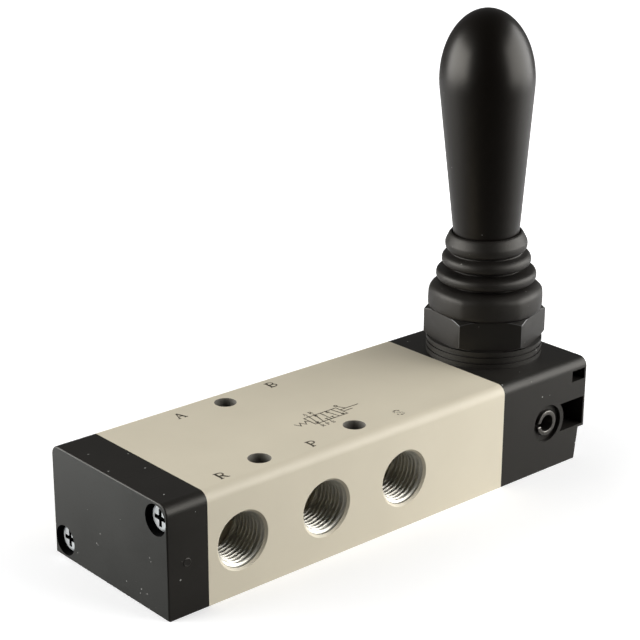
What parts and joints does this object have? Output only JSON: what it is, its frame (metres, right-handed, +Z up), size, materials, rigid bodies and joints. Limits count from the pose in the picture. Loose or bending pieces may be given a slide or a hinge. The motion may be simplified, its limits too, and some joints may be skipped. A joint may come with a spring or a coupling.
{
  "type": "hand lever air valve",
  "caption": "Hand lever air valve: a flat ported body with a spool inside, worked by an upright lever through a rubber boot.",
  "frame": {"origin": "centre of the seating face, at the middle of the whole length", "axes": "+X along the spool from the end cap to the lever, +Y to the outlet ports' side, +Z up the lever"},
  "size_m": [0.0988, 0.032, 0.0852],
  "materials": {
    "body_coat": "satin, warm beige, fine grain",
    "black_plastic": "satin moulded",
    "nut_plastic": "satin moulded",
    "grip_plastic": "semi-gloss moulded",
    "boot_rubber": "matte",
    "seal_rubber": "matte",
    "stop_rubber": "matte",
    "guide_plastic": "turned",
    "zinc_steel": "bright zinc plated",
    "bright_steel": "machined",
    "dark_steel": "oiled black spring steel",
    "spool_aluminium": "turned",
    "bush_brass": "turned"
  },
  "bodies": {
    "valve": {"valve_body": "body_coat", "end_cap": "black_plastic", "end_cap_seal": "seal_rubber", "end_cap_screws": "zinc_steel", "spring_seat": "bright_steel", "lever_housing": "black_plastic", "housing_seal": "seal_rubber", "housing_screws": "zinc_steel", "pivot_pin": "dark_steel", "lock_nut": "nut_plastic", "rod_guide": "guide_plastic", "guide_o_ring": "seal_rubber", "rod_seal": "seal_rubber", "guide_sleeve": "guide_plastic", "stop_washer": "stop_rubber", "return_spring": "bright_steel", "dust_boot": "boot_rubber"},
    "lever": {"lever_shaft": "bright_steel", "pivot_bush": "bush_brass", "grip_insert": "bush_brass", "lever_grip": "grip_plastic"},
    "spool_train": {"spool": "spool_aluminium", "spool_o_rings": "seal_rubber", "shift_yoke": "bright_steel", "yoke_screw": "zinc_steel"}
  },
  "joints": [
    {"name": "lever_swing", "type": "hinge", "parent": "valve", "child": "lever", "pos_m": [0.03875, 0, 0.0094], "axis": [0, 1, 0], "range_deg": [0, 15.5], "stiffness_Nm_per_rad": 0.35, "springref_deg": -8.59, "deforming": ["dust_boot"]},
    {"name": "spool_slide", "type": "slide", "parent": "valve", "child": "spool_train", "axis": [1, 0, 0], "range_m": [-0.00174, 0], "deforming": ["return_spring"]}
  ],
  "couplings": [
    {"joint": "spool_slide", "follows": "lever_swing", "m_per_rad": -0.0062545}
  ]
}
